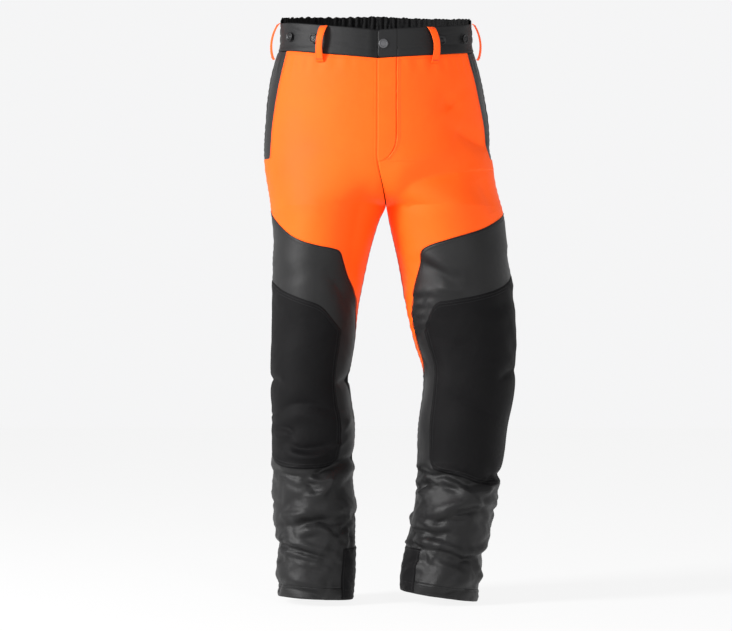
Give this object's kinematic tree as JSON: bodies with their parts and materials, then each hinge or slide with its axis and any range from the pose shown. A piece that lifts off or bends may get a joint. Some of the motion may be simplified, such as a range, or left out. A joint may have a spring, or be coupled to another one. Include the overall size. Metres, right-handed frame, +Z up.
{
  "type": "chainsaw protective trousers",
  "caption": "Forestry trousers with cut-resistant leg guards, bright thighs, grey legs, black knee patches, a gathered elastic back waistband, brace buttons, belt loops and a zip fly.",
  "frame": {"origin": "the centre of the waist opening, at the height of the waistband's middle", "axes": "+Z up along the body; +X towards the wearer's left; -Y to the front (the fly faces -Y)"},
  "size_m": [0.4551, 0.2668, 1.0631],
  "materials": {
    "orange_cloth": "satin polyester weave",
    "grey_cloth": "satin polyester weave",
    "black_cloth": "matt textured nylon",
    "back_cloth": "matt polyester weave",
    "band_cloth": "satin polyester weave",
    "elastic_band": "matt ribbed knit",
    "lining_cloth": "smooth matt weave",
    "guard_fibre": "matt knitted fibre",
    "snap_metal": "satin dark grey",
    "button_metal": "satin black",
    "zip_tape": "matt woven tape",
    "zip_plastic": "satin",
    "slider_metal": "satin black"
  },
  "bodies": {
    "trousers": {"ankle_patch_left": "black_cloth", "ankle_patch_right": "black_cloth", "back_leg_left": "back_cloth", "back_leg_right": "back_cloth", "back_panel_left": "back_cloth", "back_panel_right": "back_cloth", "back_pocket": "back_cloth", "belt_loop_back_centre": "orange_cloth", "belt_loop_back_left": "orange_cloth", "belt_loop_back_right": "orange_cloth", "belt_loop_front_left": "orange_cloth", "belt_loop_front_right": "orange_cloth", "belt_loop_side_left": "orange_cloth", "belt_loop_side_right": "orange_cloth", "brace_button_back_left": "button_metal", "brace_button_back_right": "button_metal", "brace_button_inner_left": "button_metal", "brace_button_inner_right": "button_metal", "brace_button_outer_left": "button_metal", "brace_button_outer_right": "button_metal", "fly_shield": "lining_cloth", "front_leg_left": "grey_cloth", "front_leg_right": "grey_cloth", "front_upper_left": "orange_cloth", "front_upper_right": "orange_cloth", "hem_band_left": "grey_cloth", "hem_band_right": "grey_cloth", "knee_patch_left": "black_cloth", "knee_patch_right": "black_cloth", "lining_left": "lining_cloth", "lining_right": "lining_cloth", "pocket_bag_left": "lining_cloth", "pocket_bag_right": "lining_cloth", "pocket_facing_left": "grey_cloth", "pocket_facing_right": "grey_cloth", "pocket_snap_stud": "snap_metal", "ruler_pocket": "back_cloth", "saw_guard_pad_left": "guard_fibre", "saw_guard_pad_right": "guard_fibre", "snap_stud": "snap_metal", "waist_elastic": "elastic_band", "waistband_back": "elastic_band", "waistband_front_left": "band_cloth", "waistband_front_right": "band_cloth", "zip_bottom_stop": "zip_plastic", "zip_chain_left": "zip_plastic", "zip_chain_right": "zip_plastic", "zip_tape_left": "zip_tape", "zip_tape_right": "zip_tape"},
    "fly": {"fly_flap": "orange_cloth", "waistband_end_tab": "band_cloth", "snap_cap": "snap_metal", "snap_socket": "snap_metal"},
    "slider": {"zip_slider": "slider_metal"},
    "pull": {"zip_pull": "slider_metal"},
    "pocket_lid": {"pocket_flap": "back_cloth", "flap_snap_cap": "snap_metal"}
  },
  "joints": [
    {"name": "fly_fold", "type": "hinge", "parent": "trousers", "child": "fly", "pos_m": [0.03421, -0.11996, -0.118], "axis": [0.0002, 0.0248, 0.9997], "range_deg": [0, 60]},
    {"name": "slider_slide", "type": "slide", "parent": "trousers", "child": "slider", "axis": [-0.0039, -0.0231, -0.9997], "range_m": [0, 0.14]},
    {"name": "pull_swing", "type": "hinge", "parent": "slider", "child": "pull", "pos_m": [0.01298, -0.11307, -0.06], "axis": [-1, 0, 0], "range_deg": [0, 7]},
    {"name": "pocket_flap_lift", "type": "hinge", "parent": "trousers", "child": "pocket_lid", "pos_m": [-0.12932, 0.11019, -0.11], "axis": [0.8809, 0.4733, 0], "range_deg": [0, 120]}
  ]
}
